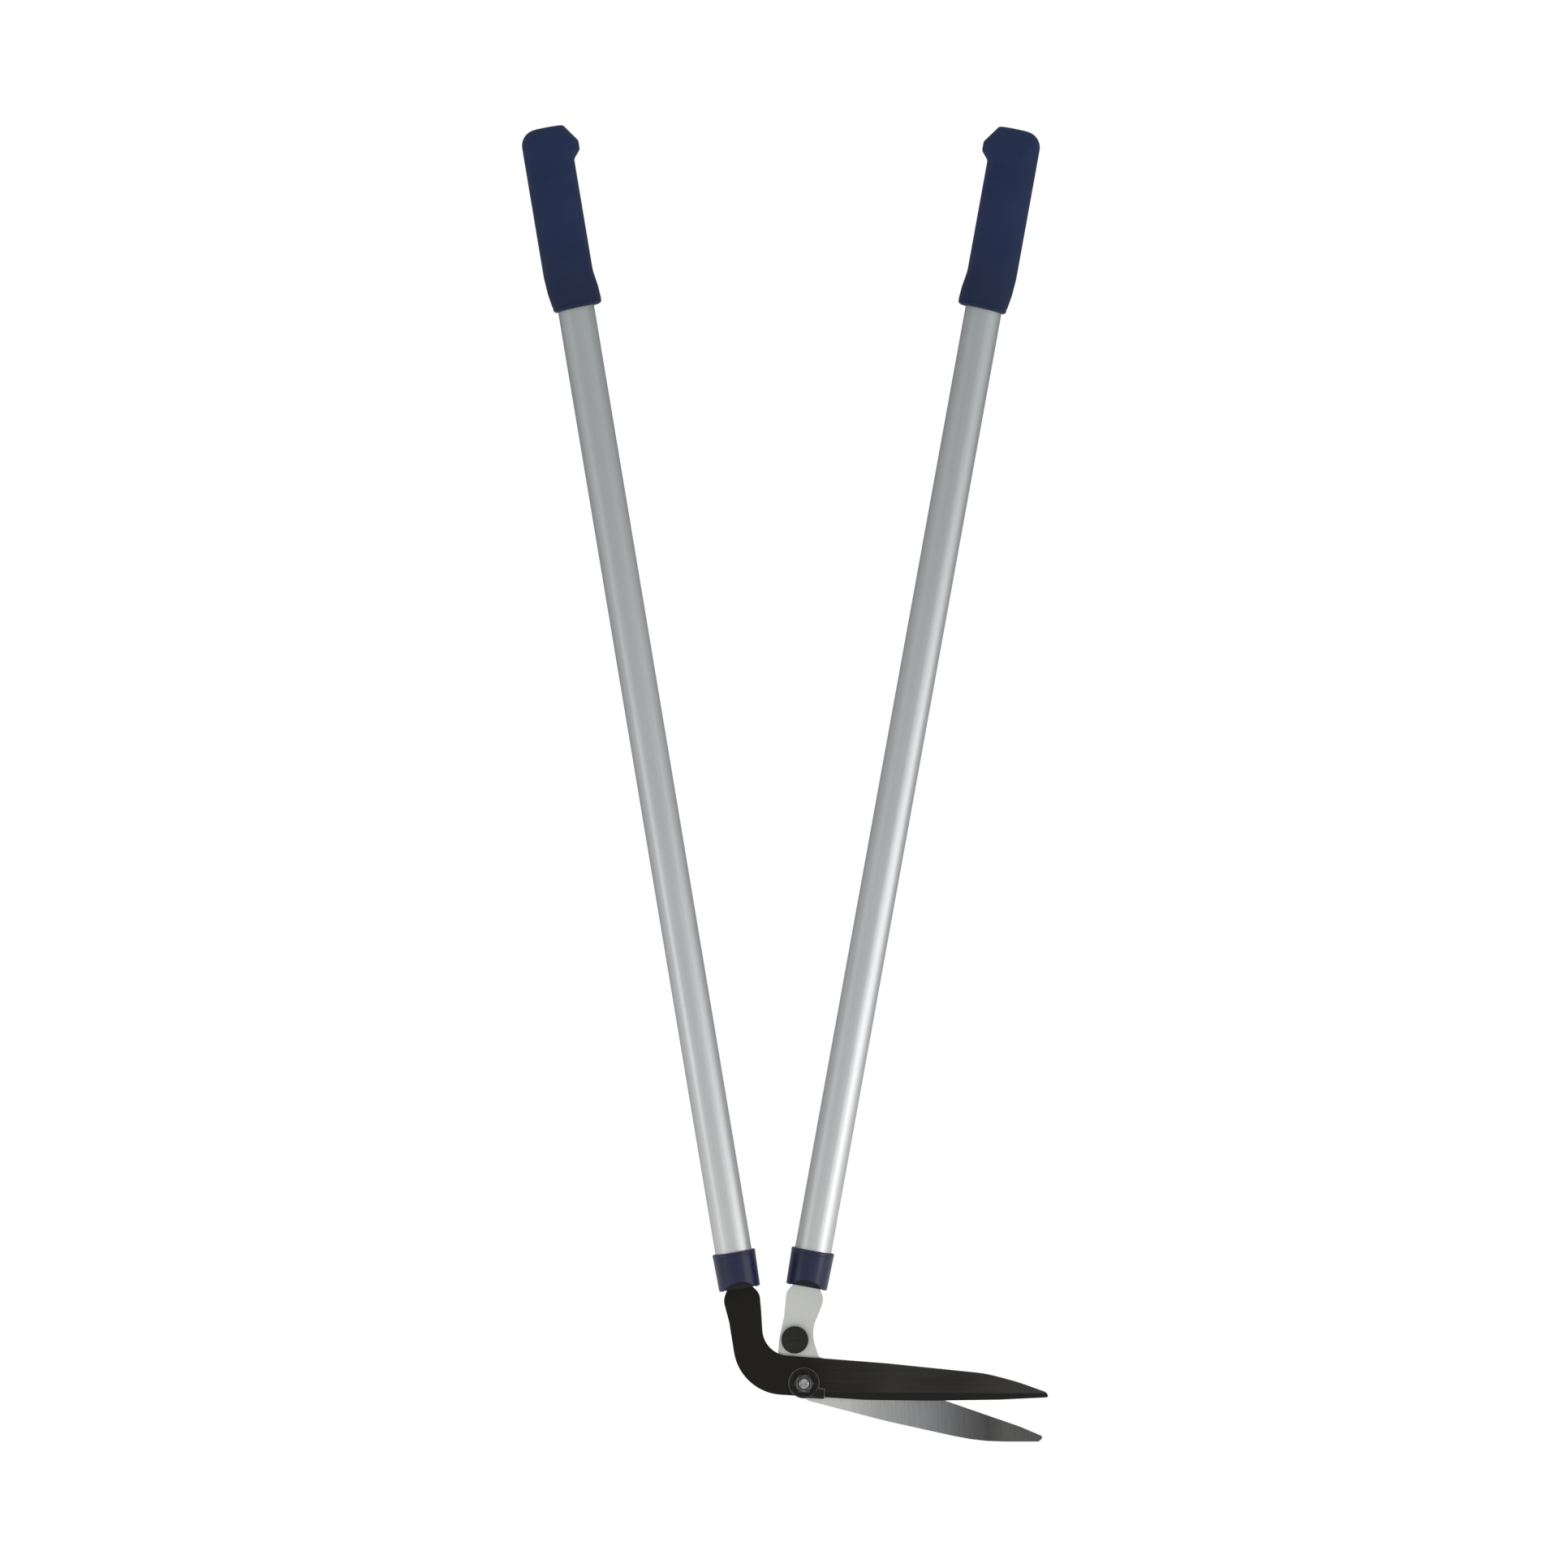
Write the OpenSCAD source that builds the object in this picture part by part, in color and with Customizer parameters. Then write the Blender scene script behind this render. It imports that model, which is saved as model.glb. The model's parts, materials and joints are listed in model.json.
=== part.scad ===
// Long-handled edging shears: two tube handles, two flat steel arms and one pivot.
// Millimetres, +Z up along the handles, +X towards the blade tips, -Y the near side.
// The origin is where the hand holds the right grip.

/* [Handles] */
// Outside diameter of the handle tubes
tube_d = 28; // [27:0.5:29]
// Wall of the handle tubes
tube_wall = 1.2; // [1:0.1:1.5]
// Bare length of tube between ferrule and grip
tube_bare = 730.4; // [500:0.1:800]
// Lean of the left handle from upright, in degrees
left_lean = 9.48; // [9:0.01:12]
// Lean of the right handle from upright, in degrees
right_lean = 10.27; // [10:0.01:12]
// Distance that the left handle's axis passes to the left of the pivot
left_offset = 36.5; // [36:0.1:38]
// Distance that the right handle's axis passes to the left of the pivot
right_offset = 11.1; // [10.5:0.1:11.5]
// Height of the left ferrule's lower end above the pivot, along the handle
left_start = 79.1; // [78.6:0.1:82]
// Height of the right ferrule's lower end above the pivot, along the handle
right_start = 72.3; // [72:0.1:75]

/* [Grips] */
// Length of a hand grip
grip_len = 140; // [130:1:150]
// Depth of a grip, front to back
grip_depth = 35; // [34:0.5:38]

/* [Ferrules] */
// Length of a ferrule
ferrule_len = 28.6; // [26:0.1:30]
// Diameter of a ferrule at its upper rim
ferrule_d = 33; // [32.6:0.1:34]
// Height of the arched recesses at a ferrule's lower end
recess_h = 5.7; // [4:0.1:6.5]

/* [Blades] */
// Thickness of both steel arms
plate_t = 4; // [3.5:0.1:4]
// Gap between the two arms
plate_gap = 0.3; // [0.3:0.05:0.5]
// Distance from the pivot to the black blade's tip, across
blade_reach = 187; // [185:0.5:190]
// Width of the ground bevel along a cutting edge
bevel_w = 6; // [4:0.5:7]
// Thickness left at the cutting edge
edge_t = 0.8; // [0.5:0.1:1.5]

/* [Pivot] */
// Diameter of the pivot bolt
bolt_d = 8; // [8:0.1:8.1]
// Radial running clearance between bolt and silver arm
pivot_clearance = 0.07; // [0.03:0.01:0.1]
// Width across the flats of nut and bolt head
hex_af = 13; // [12:0.5:14]
// Diameter of the plain washers
washer_d = 22.4; // [20:0.2:23]

/* [Buffer] */
// Diameter of the rubber buffer
buffer_d = 20.6; // [18:0.1:20.6]
// Length of the rubber buffer
buffer_len = 9.5; // [7:0.5:12]

/* [Hidden] */
$fn = 64;

// Angle between the points of a rounded corner
arc_step = 5;
// Play between two pieces that are fitted together and don't move
fit = 0.03;
tube_r = tube_d / 2;
tube_inner_r = tube_r - tube_wall;
ferrule_r = ferrule_d / 2;

// Middle of each arm's thickness, counted towards the viewer
arm_mid = (plate_gap + plate_t) / 2;

// Rubber of a grip above the tube's end, and flange of the end plug below that rubber
grip_crown = 9;
flange_t = 1.5;

// Heights in a handle's own frame, counted from the ferrule's lower end
tube_low = 8.4;
grip_low = ferrule_len + tube_bare;
grip_top = grip_low + grip_len;
tube_top = grip_top - grip_crown;
hold_height = grip_low + grip_len / 2;

// Tang: the narrow stem of an arm inside the handle
tang_w = 20;
tang_top = 46;
tang_pin_r = 2.5;
tang_pin_height = 17;
plug_len = 42;

// Pivot stack, counted towards the viewer from the gap between the arms
near_face = plate_gap / 2 + plate_t;
far_face = -near_face;
bolt_r = bolt_d / 2 - 0.02;
tab_t = 1.2;
washer_t = 1.6;
nut_low = near_face + tab_t + washer_t;
nut_hex_h = 4.3;
nut_h = 6.4;
insert_r = 5;
insert_h = 1.6;
bolt_end = nut_low + nut_h + 1.2;
spring_t = 1.1;
spring_rise = 0.7;
spring_d = 18;
back_play = 0.05;
back_low = far_face - back_play - washer_t;
spring_low = back_low - spring_t - spring_rise;
head_h = 5.3;
washer_bore_r = bolt_r + 0.2;

// Buffer and its rivet on the silver arm's neck, with the rivet's head inside the rubber
buffer_at = [-6.9, 33];
rivet_r = 2.5;
core_r = 6;
core_low = 3;
core_t = 1.5;
rivet_washer_d = 12;
rivet_washer_t = 1;

// Where the origin lies, seen from the pivot
hold = [
    leaning(right_lean, -right_offset, right_start + hold_height).x,
    arm_mid,
    leaning(right_lean, -right_offset, right_start + hold_height).y
];

// A point given across and along a leaning handle, in the plane of the arms
function leaning(lean, across, along) =
    [across * cos(lean) + along * sin(lean), along * cos(lean) - across * sin(lean)];

// A corner of the left or right arm's tang, given in its handle's frame: [x, z, radius]
function left_corner(across, along, r) = concat(
    leaning(-left_lean, across - left_offset, left_start + along), r);
function right_corner(across, along, r) = concat(
    leaning(right_lean, across - right_offset, right_start + along), r);

function toward(p, q) = (q - p) / norm(q - p);

// The points that round corner b, between its neighbours a and c, with radius r
function corner_arc(a, b, c, r) =
    let (
        u = toward(b, a),
        v = toward(b, c),
        half = acos(u * v) / 2,
        centre = b + (u + v) / norm(u + v) * r / sin(half),
        first = b + u * r / tan(half) - centre,
        last = b + v * r / tan(half) - centre,
        start = atan2(first.y, first.x),
        turn = (atan2(last.y, last.x) - start + 540) % 360 - 180,
        steps = max(3, ceil(abs(turn) / arc_step))
    )
    [for (i = [0:steps]) centre + r * [cos(start + turn * i / steps), sin(start + turn * i / steps)]];

// An outline from corners, each [x, z, radius]
function rounded(corners) =
    let (n = len(corners))
    [
        for (i = [0:n - 1])
            let (
                a = corners[(i + n - 1) % n],
                b = corners[i],
                c = corners[(i + 1) % n]
            )
            each b.z == 0 ? [[b.x, b.y]] : corner_arc([a.x, a.y], [b.x, b.y], [c.x, c.y], b.z)
    ];

// Black arm: tang, neck with its elbow, back, tip, cutting edge and heel
black_heel = [16, -11];
black_elbow = [-48.6, -7.1];
black_outline = rounded([
    left_corner(-tang_w / 2, tang_top, 3),
    left_corner(tang_w / 2, tang_top, 3),
    left_corner(tang_w / 2, 0, 0),
    left_corner(14.4, -6, 10),
    [-32.6, 55, 60],
    [-30.6, 22.2, 20.5],
    [62, 15.1, 500],
    [139, 7.2, 90],
    [163, 0.9, 150],
    [blade_reach - 1.5, -7.2, 4],
    [blade_reach, -11, 1.3],
    [150, -12.9, 300],
    [95, -13.7, 400],
    [46, -13, 80],
    [black_heel.x, black_heel.y, 0],
    [black_elbow.x, black_elbow.y, 38.6],
    [-57, 46, 40],
    left_corner(-13.8, -6.5, 12),
    left_corner(-tang_w / 2, 0, 0)
]);

// Silver arm: tang, waisted neck, cutting edge, tip, back and the end behind the pivot
silver_heel = [11.3, 19.8];
silver_edge_end = [165, -33.4];
silver_outline = rounded([
    right_corner(-tang_w / 2, tang_top, 3),
    right_corner(tang_w / 2, tang_top, 3),
    right_corner(tang_w / 2, 0, 0),
    right_corner(10.6, 0, 0),
    right_corner(14.2, -6, 9),
    [13.9, 59.5, 12],
    [5.3, 38.8, 28],
    [silver_heel.x, silver_heel.y, 1.5],
    [silver_edge_end.x, silver_edge_end.y, 60],
    [183.2, -41.2, 1.5],
    [179.5, -45, 3],
    [134, -45, 180],
    [62, -29.1, 500],
    [3.2, -13.7, 1.5],
    [-1, -10.4, 2],
    [-13, -9.5, 9],
    [-13, 4, 12],
    [-20, 21.5, 12],
    [-18.6, 34.5, 20],
    [-15.1, 50.5, 25],
    right_corner(-14.4, -6.5, 9),
    right_corner(-10.6, 0, 0),
    right_corner(-tang_w / 2, 0, 0)
]);

// Moves everything from the pivot to the hand hold
module from_hold() {
    translate(-hold) children();
}

// Frame of the plates and of the pivot: flat on the arms, third axis towards the viewer
module at_pivot() {
    from_hold() rotate([90, 0, 0]) children();
}

// Frame of a handle: third axis up the tube from the ferrule's lower end, first axis inwards
module on_left() {
    from_hold() rotate([0, -left_lean, 0]) translate([-left_offset, -arm_mid, left_start]) children();
}

module on_right() {
    from_hold() rotate([0, right_lean, 0]) translate([-right_offset, arm_mid, right_start])
        mirror([1, 0, 0]) children();
}

// A ground bevel to cut away: it starts at p, runs along the angle, and eats into the outer face
module bevel(p, angle, length, upwards) {
    slope = (plate_t - edge_t) / bevel_w;
    beyond = 3;
    translate([p.x, p.y, 0]) rotate(angle) mirror([0, upwards ? 0 : 1, 0])
        rotate([90, 0, 90]) linear_extrude(length)
            polygon([
                [-beyond, edge_t - beyond * slope],
                [bevel_w + 1, plate_t + slope],
                [-beyond, plate_t + slope]
            ]);
}

// A flat arm from its outline, inner face at zero, with its pivot bore and its tang pin's hole
module arm_plate(outline, pivot_r, pin_at) {
    difference() {
        linear_extrude(plate_t) polygon(outline);
        translate([0, 0, -1]) cylinder(r = pivot_r, h = plate_t + 2);
        translate([pin_at.x, pin_at.y, -1]) cylinder(r = tang_pin_r, h = plate_t + 2);
    }
}

module black_blade() {
    bevel_from = black_heel - [0, 1.9];
    bevel_angle = -0.3;
    color([0.13, 0.12, 0.11]) at_pivot() translate([0, 0, plate_gap / 2]) difference() {
        arm_plate(
            black_outline, bolt_d / 2, leaning(-left_lean, -left_offset, left_start + tang_pin_height));
        bevel(bevel_from, bevel_angle, blade_reach, true);
    }
}

module silver_blade() {
    run = silver_edge_end - silver_heel;
    angle = atan2(run.y, run.x);
    bevel_start = silver_heel + 12 * [cos(angle), sin(angle)];
    color([0.74, 0.75, 0.74]) at_pivot() mirror([0, 0, 1]) translate([0, 0, plate_gap / 2]) difference() {
        arm_plate(
            silver_outline, bolt_r + pivot_clearance,
            leaning(right_lean, -right_offset, right_start + tang_pin_height));
        bevel(bevel_start, angle, blade_reach, false);
        translate([buffer_at.x, buffer_at.y, -1]) cylinder(r = rivet_r, h = plate_t + 2);
    }
}

// Cross hole for the tang pin, through whatever is at that height
module pin_hole() {
    translate([0, 0, tang_pin_height]) rotate([90, 0, 0])
        cylinder(r = tang_pin_r, h = 2 * tube_d, center = true);
}

module tube() {
    difference() {
        translate([0, 0, tube_low + fit]) cylinder(r = tube_r, h = tube_top - tube_low - fit);
        cylinder(r = tube_inner_r, h = grip_top);
        pin_hole();
    }
}

module left_tube() {
    color([0.72, 0.74, 0.74]) on_left() tube();
}

module right_tube() {
    color([0.72, 0.74, 0.74]) on_right() tube();
}

// Collar over the tube's end: tapered wall, raised upper rim, slotted sole, arched recesses
module ferrule() {
    bore_r = tube_r + fit;
    foot_r = ferrule_r - 0.7;
    sole = 0.3;
    rim_h = 3;
    groove = 0.15;
    corner = 0.7;
    difference() {
        rotate_extrude() polygon([
            [0, sole],
            [tube_r - 0.6, sole],
            [tube_r - 0.3, 0],
            [foot_r - corner, 0],
            [foot_r, corner],
            [ferrule_r - groove, ferrule_len - rim_h - groove],
            [ferrule_r - 2 * groove, ferrule_len - rim_h],
            [ferrule_r, ferrule_len - rim_h + 2 * groove],
            [ferrule_r, ferrule_len - corner],
            [ferrule_r - corner, ferrule_len],
            [bore_r, ferrule_len],
            [bore_r, tube_low],
            [0, tube_low]
        ]);
        translate([0, 0, tube_low / 2])
            cube([tang_w + 0.3, plate_t + 0.3, tube_low + 1], center = true);
        arched_recess();
        mirror([0, 1, 0]) arched_recess();
    }
}

// Arch cut into the front of a ferrule's lower end, as far as the wall round the tang
module arched_recess() {
    arch_r = 16.5;
    tang_wall = 3;
    translate([0, -plate_t / 2 - tang_wall, recess_h - arch_r]) rotate([90, 0, 0])
        cylinder(r = arch_r, h = ferrule_d);
}

module left_ferrule() {
    color([0.16, 0.19, 0.33]) on_left() ferrule();
}

module right_ferrule() {
    color([0.16, 0.19, 0.33]) on_right() ferrule();
}

// Cross-section of a grip from its outer side to its inner side, with its depth
module grip_section(outer, inner, depth) {
    middle = (inner - outer) / 2;
    half_w = (inner + outer) / 2;
    polygon([for (a = [0:10:350]) [middle + half_w * cos(a), depth / 2 * sin(a)]]);
}

// Soft grip: straight palm section, foot kinked inwards, hooked bulge at the top inner side.
// Each station is [height, reach outwards, reach inwards, depth].
module grip() {
    lip = 3;
    stations = [
        [lip, 17.3, 20.5, grip_depth + 1],
        [27, 20.5, 17.5, grip_depth],
        [grip_len - 26, 20.5, 17.5, grip_depth],
        [grip_len - 19.5, 20.5, 22.2, grip_depth],
        [grip_len - 14, 20.4, 22.4, grip_depth],
        [grip_len - 5, 17.2, 17.3, grip_depth - 3],
        [grip_len, 8, 12.8, grip_depth - 14]
    ];
    sliver = 0.01;
    translate([0, 0, grip_low]) difference() {
        union() {
            linear_extrude(lip + sliver) grip_section(16.9, 20.1, grip_depth + 0.4);
            for (i = [0:len(stations) - 2]) hull() {
                grip_slice(stations[i], 0, sliver);
                grip_slice(stations[i + 1], -sliver, sliver);
            }
        }
        translate([0, 0, -1])
            cylinder(r = tube_r + fit, h = 1 + grip_len - grip_crown + flange_t + 2 * fit);
    }
}

module grip_slice(station, shift, thickness) {
    translate([0, 0, station[0] + shift]) linear_extrude(thickness)
        grip_section(station[1], station[2], station[3]);
}

module left_grip() {
    color([0.15, 0.18, 0.32]) on_left() grip();
}

module right_grip() {
    color([0.15, 0.18, 0.32]) on_right() grip();
}

// Nylon plug in the tube's lower end, slotted for the tang
module tang_plug() {
    difference() {
        translate([0, 0, tube_low + fit]) cylinder(r = tube_inner_r - fit, h = plug_len);
        translate([0, 0, tang_top / 2])
            cube([tang_w + 2 * fit, plate_t + 2 * fit, tang_top + 2 * fit], center = true);
        pin_hole();
    }
}

module left_tang_plug() {
    color("whitesmoke") on_left() tang_plug();
}

module right_tang_plug() {
    color("whitesmoke") on_right() tang_plug();
}

// Cross pin through tube, plug and tang, flush with the tube
module tang_pin() {
    r = tang_pin_r - fit;
    half = tube_r - 0.4;
    chamfer = 0.5;
    translate([0, 0, tang_pin_height]) rotate([90, 0, 0]) rotate_extrude() polygon([
        [0, -half],
        [r - chamfer, -half],
        [r, chamfer - half],
        [r, half - chamfer],
        [r - chamfer, half],
        [0, half]
    ]);
}

module left_tang_pin() {
    color("silver") on_left() tang_pin();
}

module right_tang_pin() {
    color("silver") on_right() tang_pin();
}

// Plastic plug that closes the tube's upper end inside the grip
module end_plug() {
    shank = 14;
    hollow_r = tube_inner_r - 2;
    flange_r = tube_r - 0.5;
    translate([0, 0, tube_top - shank]) difference() {
        union() {
            cylinder(r = tube_inner_r - fit, h = shank + fit);
            translate([0, 0, shank + fit]) cylinder(r = flange_r, h = flange_t);
        }
        translate([0, 0, -1]) cylinder(r = hollow_r, h = shank);
    }
}

module left_end_plug() {
    color("dimgray") on_left() end_plug();
}

module right_end_plug() {
    color("dimgray") on_right() end_plug();
}

// Hexagon prism with its far corners chamfered round
module hexagon(height) {
    corner_r = hex_af / 2 / cos(30);
    chamfer = 0.9;
    intersection() {
        cylinder(r = corner_r, h = height, $fn = 6);
        rotate_extrude() polygon([
            [0, 0],
            [corner_r + 1, 0],
            [corner_r + 1, height - chamfer],
            [hex_af / 2 - 0.3, height],
            [0, height]
        ]);
    }
}

module pivot_bolt() {
    tip = 0.9;
    dish_r = 2.5;
    dish = 0.8;
    color("silver") at_pivot() union() {
        translate([0, 0, spring_low]) mirror([0, 0, 1]) hexagon(head_h);
        rotate_extrude() polygon([
            [0, spring_low - 1],
            [bolt_r, spring_low - 1],
            [bolt_r, bolt_end - tip],
            [bolt_r - tip, bolt_end],
            [dish_r, bolt_end],
            [0, bolt_end - dish]
        ]);
    }
}

// Lock nut: hexagon with a rounded collar that holds the nylon ring
module pivot_nut() {
    collar_r = 5.9;
    color([0.2, 0.2, 0.21]) at_pivot() translate([0, 0, nut_low]) difference() {
        union() {
            hexagon(nut_hex_h);
            rotate_extrude() polygon([
                [0, 1],
                [collar_r, 1],
                [collar_r, nut_h - 1],
                [collar_r - 0.3, nut_h - 0.3],
                [insert_r, nut_h],
                [0, nut_h]
            ]);
        }
        translate([0, 0, -1]) cylinder(r = bolt_r + fit, h = nut_h + 2);
        translate([0, 0, nut_hex_h]) cylinder(r = insert_r, h = nut_h);
    }
}

module nut_insert() {
    color("ivory") at_pivot() translate([0, 0, nut_low + nut_hex_h]) difference() {
        cylinder(r = insert_r - fit, h = insert_h);
        translate([0, 0, -1]) cylinder(r = bolt_r + fit, h = insert_h + 2);
    }
}

module plain_washer(d, t, bore_r) {
    chamfer = 0.3;
    rotate_extrude() polygon([
        [bore_r, 0],
        [d / 2, 0],
        [d / 2, t - chamfer],
        [d / 2 - chamfer, t],
        [bore_r, t]
    ]);
}

module front_washer() {
    color([0.22, 0.22, 0.22]) at_pivot() translate([0, 0, near_face + tab_t])
        plain_washer(washer_d, washer_t, washer_bore_r);
}

// Locking washer: a ring with a wide tongue that folds back over the black arm's lower edge
module tab_washer() {
    ring_r = 11.8;
    tongue_w = 18.4;
    tongue_mid = 6.3;
    edge_run = black_heel - black_elbow;
    edge_angle = atan2(edge_run.y, edge_run.x);
    fold_y = black_heel.y - (black_heel.x - tongue_mid) * tan(edge_angle);
    fold_depth = plate_t - 1;
    color([0.17, 0.17, 0.19]) at_pivot() difference() {
        union() {
            translate([0, 0, near_face]) cylinder(r = ring_r, h = tab_t);
            translate([tongue_mid, fold_y, near_face]) rotate(edge_angle)
                translate([-tongue_w / 2, -tab_t - fit, 0]) cube([tongue_w, 8, tab_t]);
            translate([tongue_mid, fold_y, near_face - fold_depth]) rotate(edge_angle)
                translate([-tongue_w / 2, -tab_t - fit, 0]) cube([tongue_w, tab_t, fold_depth + tab_t]);
        }
        translate([0, 0, near_face - 1]) cylinder(r = washer_bore_r, h = 4);
    }
}

// Conical spring washer that presses the arms together
module spring_washer() {
    color([0.5, 0.5, 0.52]) at_pivot() translate([0, 0, spring_low]) rotate_extrude() polygon([
        [washer_bore_r, 0],
        [spring_d / 2, spring_rise],
        [spring_d / 2, spring_rise + spring_t],
        [washer_bore_r, spring_t]
    ]);
}

module back_washer() {
    color("silver") at_pivot() translate([0, 0, back_low]) mirror([0, 0, 1]) translate([0, 0, -washer_t])
        plain_washer(washer_d, washer_t, washer_bore_r);
}

// Frame of the buffer: third axis towards the viewer from the silver arm's near face
module at_buffer() {
    at_pivot() translate([buffer_at.x, buffer_at.y, -plate_gap / 2]) children();
}

module buffer() {
    r = buffer_d / 2;
    chamfer = 0.8;
    slot_w = 1;
    slot_len = 8;
    color([0.18, 0.18, 0.17]) at_buffer() difference() {
        rotate_extrude() polygon([
            [rivet_r, fit],
            [r - 0.3, fit],
            [r, 0.4],
            [r, buffer_len - chamfer],
            [r - chamfer, buffer_len],
            [0, buffer_len],
            [0, core_low + core_t + fit],
            [core_r + fit, core_low + core_t + fit],
            [core_r + fit, core_low - fit],
            [rivet_r, core_low - fit]
        ]);
        translate([0, 0, buffer_len]) cube([slot_len, slot_w, 1.4], center = true);
    }
}

module buffer_rivet() {
    washer_low = -plate_t - rivet_washer_t;
    head_r = 4.4;
    color("silver") at_buffer() rotate_extrude() polygon([
        [0, core_low + core_t],
        [core_r, core_low + core_t],
        [core_r, core_low],
        [rivet_r - fit, core_low],
        [rivet_r - fit, washer_low - fit],
        [head_r, washer_low - fit],
        [head_r - 0.6, washer_low - 1.3],
        [head_r - 2.2, washer_low - 2.1],
        [0, washer_low - 2.3]
    ]);
}

module buffer_washer() {
    color("silver") at_buffer() translate([0, 0, -plate_t]) mirror([0, 0, 1])
        plain_washer(rivet_washer_d, rivet_washer_t, rivet_r);
}

black_blade();
silver_blade();
left_tube();
right_tube();
left_ferrule();
right_ferrule();
left_grip();
right_grip();
left_tang_plug();
right_tang_plug();
left_tang_pin();
right_tang_pin();
left_end_plug();
right_end_plug();
pivot_bolt();
pivot_nut();
nut_insert();
front_washer();
tab_washer();
spring_washer();
back_washer();
buffer();
buffer_rivet();
buffer_washer();
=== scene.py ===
"""Looks of the long-handled edging shears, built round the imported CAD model.

Everything is in metres in the CAD model's frame: +Z up along the handles, +X towards the blade
tips, -Y the near side. The grips' outlines are in millimetres, in the frames of the handles, whose
origins are at the hand holds.
"""

import json
from math import atan2, cos, pi, radians, sin, sqrt

import bmesh
import bpy
from mathutils import Matrix, Vector


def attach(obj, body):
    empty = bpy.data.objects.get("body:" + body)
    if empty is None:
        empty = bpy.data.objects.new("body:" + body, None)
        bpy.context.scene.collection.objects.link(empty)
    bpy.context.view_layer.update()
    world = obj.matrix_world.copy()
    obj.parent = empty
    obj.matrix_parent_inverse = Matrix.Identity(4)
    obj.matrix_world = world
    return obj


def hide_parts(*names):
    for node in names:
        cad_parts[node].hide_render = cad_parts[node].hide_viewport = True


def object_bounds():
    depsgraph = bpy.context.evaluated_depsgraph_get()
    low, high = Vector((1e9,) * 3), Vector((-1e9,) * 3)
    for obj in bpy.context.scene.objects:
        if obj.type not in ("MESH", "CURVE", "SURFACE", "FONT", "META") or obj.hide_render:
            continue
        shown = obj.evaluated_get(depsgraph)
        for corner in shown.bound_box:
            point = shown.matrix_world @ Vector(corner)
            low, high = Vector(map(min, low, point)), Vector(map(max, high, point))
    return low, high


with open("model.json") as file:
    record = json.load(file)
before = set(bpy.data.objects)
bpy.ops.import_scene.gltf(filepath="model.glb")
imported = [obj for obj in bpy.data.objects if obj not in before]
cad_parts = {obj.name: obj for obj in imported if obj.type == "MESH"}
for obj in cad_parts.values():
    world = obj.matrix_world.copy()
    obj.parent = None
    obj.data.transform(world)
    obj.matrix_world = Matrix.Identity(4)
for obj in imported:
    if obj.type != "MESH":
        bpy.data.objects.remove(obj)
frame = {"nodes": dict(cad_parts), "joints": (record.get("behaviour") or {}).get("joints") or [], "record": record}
cad_box = [list(corner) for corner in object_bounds()]

MM = 0.001
mounts = {m["name"]: m for m in frame["record"]["mounts"]}
pivot = Vector(frame["joints"][0]["pos_m"])


# ---------------------------------------------------------------- frames

def handle_frame(side):
    """Third axis up the handle, first axis across it towards +X, origin at the hand hold."""
    hold = mounts[side + "_hand_hold"]
    up = Vector(hold["axis"]).normalized()
    across = Vector((up.z, 0, -up.x))
    turn = Matrix((across, Vector((0, 1, 0)), up)).transposed().to_4x4()
    return Matrix.Translation(hold["pos_m"]) @ turn


handles = {side: handle_frame(side) for side in ("left", "right")}
at_pivot = Matrix.Translation(pivot)
body_of_side = {"left": "black_arm", "right": "silver_arm"}


# ---------------------------------------------------------------- shader helpers

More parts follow.
